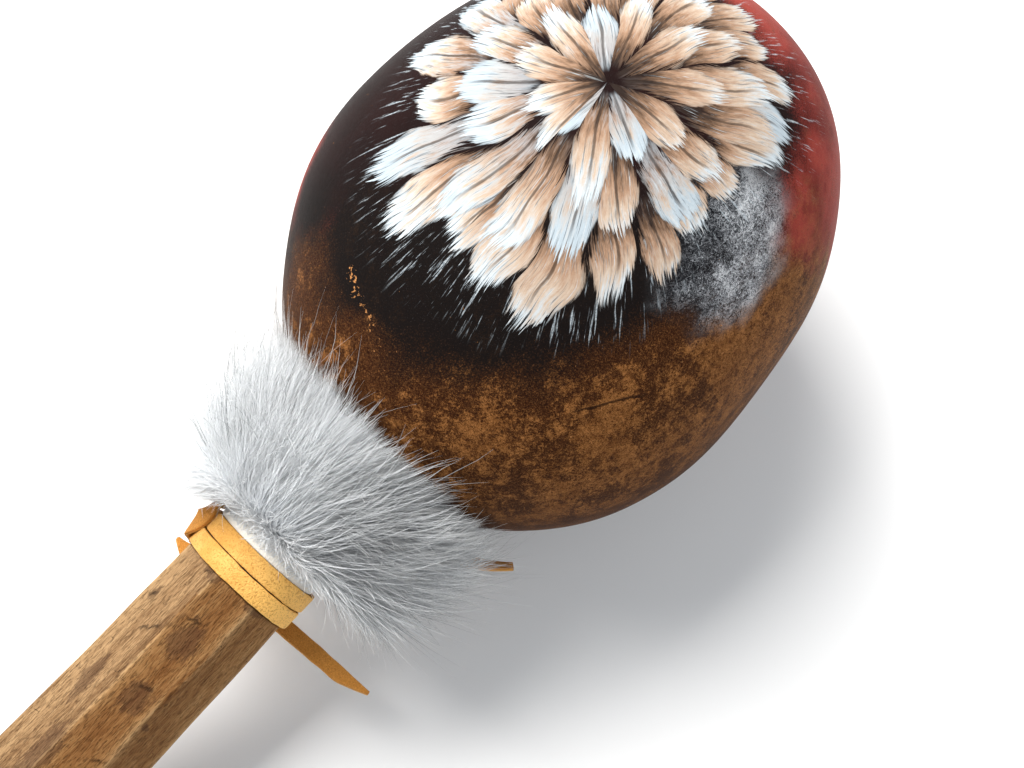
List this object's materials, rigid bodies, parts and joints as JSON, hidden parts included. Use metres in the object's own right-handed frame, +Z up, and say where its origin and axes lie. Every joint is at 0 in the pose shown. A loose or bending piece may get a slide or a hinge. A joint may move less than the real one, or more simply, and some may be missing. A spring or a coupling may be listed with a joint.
{
  "type": "gourd rattle",
  "caption": "Hand rattle: a hollow egg-shaped painted gourd with loose pebbles inside, pegged on a whittled wooden handle, with a fur collar tied on by leather lace.",
  "frame": {"origin": "middle of the rattle's length and width, on the surface it lies on", "axes": "+X from the handle's butt towards the gourd's tip, +Z up from the surface; the rattle's own axis rises towards the gourd by about 11.2 degrees in the XZ plane"},
  "size_m": [0.2814, 0.1116, 0.1132],
  "materials": {
    "painted_gourd": "dried gourd shell, painted and varnished to a satin sheen",
    "handle_wood": "whittled, oiled and hand-worn, with dark stains",
    "peg_wood": "bare dowel",
    "fur": "white and grey fur on its hide",
    "lace_leather": "golden tan, pebbled grain side out, rough flesh side in",
    "pebble_stone": "opaque matt stone"
  },
  "bodies": {
    "rattle": {"gourd_shell": "painted_gourd", "handle": "handle_wood", "tenon_peg": "peg_wood", "fur_collar": "fur", "lower_lace": "lace_leather", "upper_lace": "lace_leather"},
    "pebble_01_body": {"pebble_01": "pebble_stone"},
    "pebble_02_body": {"pebble_02": "pebble_stone"},
    "pebble_03_body": {"pebble_03": "pebble_stone"},
    "pebble_04_body": {"pebble_04": "pebble_stone"},
    "pebble_05_body": {"pebble_05": "pebble_stone"},
    "pebble_06_body": {"pebble_06": "pebble_stone"},
    "pebble_07_body": {"pebble_07": "pebble_stone"},
    "pebble_08_body": {"pebble_08": "pebble_stone"},
    "pebble_09_body": {"pebble_09": "pebble_stone"},
    "pebble_10_body": {"pebble_10": "pebble_stone"},
    "pebble_11_body": {"pebble_11": "pebble_stone"},
    "pebble_12_body": {"pebble_12": "pebble_stone"},
    "pebble_13_body": {"pebble_13": "pebble_stone"},
    "pebble_14_body": {"pebble_14": "pebble_stone"},
    "pebble_15_body": {"pebble_15": "pebble_stone"},
    "pebble_16_body": {"pebble_16": "pebble_stone"},
    "pebble_17_body": {"pebble_17": "pebble_stone"},
    "pebble_18_body": {"pebble_18": "pebble_stone"},
    "pebble_19_body": {"pebble_19": "pebble_stone"},
    "pebble_20_body": {"pebble_20": "pebble_stone"},
    "pebble_21_body": {"pebble_21": "pebble_stone"},
    "pebble_22_body": {"pebble_22": "pebble_stone"},
    "pebble_23_body": {"pebble_23": "pebble_stone"},
    "pebble_24_body": {"pebble_24": "pebble_stone"}
  },
  "joints": [
    {"name": "pebble_01_travel", "type": "slide", "parent": "rattle", "child": "pebble_01_body", "axis": [-0.1938, 0, 0.981], "range_m": [0, 0.0936]},
    {"name": "pebble_02_travel", "type": "slide", "parent": "rattle", "child": "pebble_02_body", "axis": [-0.1938, 0, 0.981], "range_m": [0, 0.0922]},
    {"name": "pebble_03_travel", "type": "slide", "parent": "rattle", "child": "pebble_03_body", "axis": [-0.1938, 0, 0.981], "range_m": [0, 0.0945]},
    {"name": "pebble_04_travel", "type": "slide", "parent": "rattle", "child": "pebble_04_body", "axis": [-0.1938, 0, 0.981], "range_m": [0, 0.0958]},
    {"name": "pebble_05_travel", "type": "slide", "parent": "rattle", "child": "pebble_05_body", "axis": [-0.1938, 0, 0.981], "range_m": [0, 0.0901]},
    {"name": "pebble_06_travel", "type": "slide", "parent": "rattle", "child": "pebble_06_body", "axis": [-0.1938, 0, 0.981], "range_m": [0, 0.0942]},
    {"name": "pebble_07_travel", "type": "slide", "parent": "rattle", "child": "pebble_07_body", "axis": [-0.1938, 0, 0.981], "range_m": [0, 0.091]},
    {"name": "pebble_08_travel", "type": "slide", "parent": "rattle", "child": "pebble_08_body", "axis": [-0.1938, 0, 0.981], "range_m": [0, 0.0961]},
    {"name": "pebble_09_travel", "type": "slide", "parent": "rattle", "child": "pebble_09_body", "axis": [-0.1938, 0, 0.981], "range_m": [0, 0.0958]},
    {"name": "pebble_10_travel", "type": "slide", "parent": "rattle", "child": "pebble_10_body", "axis": [-0.1938, 0, 0.981], "range_m": [0, 0.0873]},
    {"name": "pebble_11_travel", "type": "slide", "parent": "rattle", "child": "pebble_11_body", "axis": [-0.1938, 0, 0.981], "range_m": [0, 0.0934]},
    {"name": "pebble_12_travel", "type": "slide", "parent": "rattle", "child": "pebble_12_body", "axis": [-0.1938, 0, 0.981], "range_m": [0, 0.0861]},
    {"name": "pebble_13_travel", "type": "slide", "parent": "rattle", "child": "pebble_13_body", "axis": [-0.1938, 0, 0.981], "range_m": [0, 0.0959]},
    {"name": "pebble_14_travel", "type": "slide", "parent": "rattle", "child": "pebble_14_body", "axis": [-0.1938, 0, 0.981], "range_m": [0, 0.0873]},
    {"name": "pebble_15_travel", "type": "slide", "parent": "rattle", "child": "pebble_15_body", "axis": [-0.1938, 0, 0.981], "range_m": [0, 0.09]},
    {"name": "pebble_16_travel", "type": "slide", "parent": "rattle", "child": "pebble_16_body", "axis": [-0.1938, 0, 0.981], "range_m": [0, 0.0899]},
    {"name": "pebble_17_travel", "type": "slide", "parent": "rattle", "child": "pebble_17_body", "axis": [-0.1938, 0, 0.981], "range_m": [0, 0.0838]},
    {"name": "pebble_18_travel", "type": "slide", "parent": "rattle", "child": "pebble_18_body", "axis": [-0.1938, 0, 0.981], "range_m": [0, 0.0922]},
    {"name": "pebble_19_travel", "type": "slide", "parent": "rattle", "child": "pebble_19_body", "axis": [-0.1938, 0, 0.981], "range_m": [0, 0.0858]},
    {"name": "pebble_20_travel", "type": "slide", "parent": "rattle", "child": "pebble_20_body", "axis": [-0.1938, 0, 0.981], "range_m": [0, 0.0957]},
    {"name": "pebble_21_travel", "type": "slide", "parent": "rattle", "child": "pebble_21_body", "axis": [-0.1938, 0, 0.981], "range_m": [0, 0.0955]},
    {"name": "pebble_22_travel", "type": "slide", "parent": "rattle", "child": "pebble_22_body", "axis": [-0.1938, 0, 0.981], "range_m": [0, 0.0937]},
    {"name": "pebble_23_travel", "type": "slide", "parent": "rattle", "child": "pebble_23_body", "axis": [-0.1938, 0, 0.981], "range_m": [0, 0.0934]},
    {"name": "pebble_24_travel", "type": "slide", "parent": "rattle", "child": "pebble_24_body", "axis": [-0.1938, 0, 0.981], "range_m": [0, 0.0957]}
  ]
}
